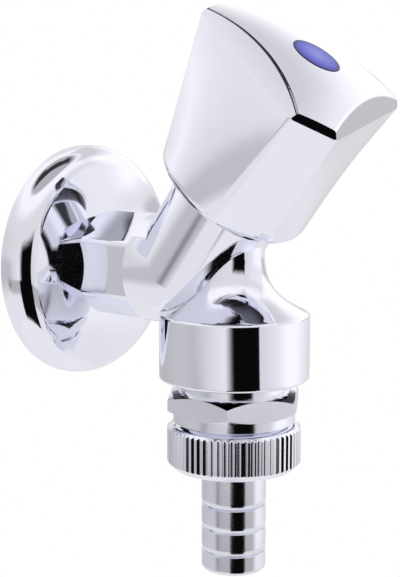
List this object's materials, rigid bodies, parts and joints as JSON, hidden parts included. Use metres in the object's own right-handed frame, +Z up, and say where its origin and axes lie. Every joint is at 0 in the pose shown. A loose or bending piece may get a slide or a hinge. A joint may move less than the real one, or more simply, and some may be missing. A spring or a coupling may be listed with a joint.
{
  "type": "wall outlet tap with non-return valve",
  "caption": "Chrome wall outlet tap with a built-in spring-loaded non-return valve, a cornered screw-down handle, a wall rosette, a knurled union nut and a barbed hose tail.",
  "frame": {"origin": "on the inlet axis at the wall plane, inside the wall thread", "axes": "+X out of the wall along the inlet, +Z up along the outlet, +Y to the tap's left"},
  "size_m": [0.0922, 0.0542, 0.1257],
  "materials": {
    "chrome_plate": "polished chrome plate on brass",
    "raw_brass": "turned brass",
    "stainless_steel": "drawn stainless steel",
    "black_rubber": "moulded rubber",
    "fibre": "red fibre sheet",
    "white_plastic": "moulded plastic",
    "blue_plastic": "moulded blue plastic"
  },
  "bodies": {
    "valve": {"wall_rosette": "chrome_plate", "valve_body": "chrome_plate", "bonnet": "raw_brass", "bonnet_gasket": "fibre", "outlet_nipple": "chrome_plate", "nipple_o_ring": "black_rubber", "check_cage": "white_plastic", "cage_guide": "white_plastic", "cage_o_ring": "black_rubber", "flange_gasket": "black_rubber", "check_spring": "stainless_steel"},
    "turning_handle": {"handle": "chrome_plate", "index_cap": "blue_plastic", "handle_screw": "stainless_steel", "spindle": "raw_brass", "spindle_clip": "stainless_steel", "spindle_o_ring": "black_rubber"},
    "closing_plunger": {"plunger": "raw_brass", "seat_washer": "black_rubber", "washer_screw": "stainless_steel"},
    "moving_poppet": {"check_poppet": "white_plastic", "check_seal": "black_rubber"},
    "hose_end": {"hose_tail": "chrome_plate", "hose_gasket": "black_rubber"},
    "turning_nut": {"union_nut": "chrome_plate"}
  },
  "joints": [
    {"name": "handle_turn", "type": "hinge", "parent": "valve", "child": "turning_handle", "pos_m": [0.03195, 0, 0], "axis": [0.5838, 0, 0.8119], "range_deg": [0, 990]},
    {"name": "plunger_lift", "type": "slide", "parent": "valve", "child": "closing_plunger", "axis": [0.5838, 0, 0.8119], "range_m": [0, 0.00482]},
    {"name": "poppet_open", "type": "slide", "parent": "valve", "child": "moving_poppet", "axis": [0, 0, -1], "range_m": [0, 0.0035], "stiffness_N_per_m": 150, "springref_m": -0.004, "deforming": ["check_spring"]},
    {"name": "hose_end_draw", "type": "slide", "parent": "valve", "child": "hose_end", "axis": [0, 0, -1], "range_m": [0, 0.00544]},
    {"name": "union_nut_turn", "type": "hinge", "parent": "hose_end", "child": "turning_nut", "pos_m": [0.04532, 0, 0], "axis": [0, 0, -1], "range_deg": [0, 1080]}
  ],
  "couplings": [
    {"joint": "plunger_lift", "follows": "handle_turn", "m_per_rad": 0.00027852},
    {"joint": "union_nut_turn", "follows": "hose_end_draw", "rad_per_m": 3463.7}
  ]
}
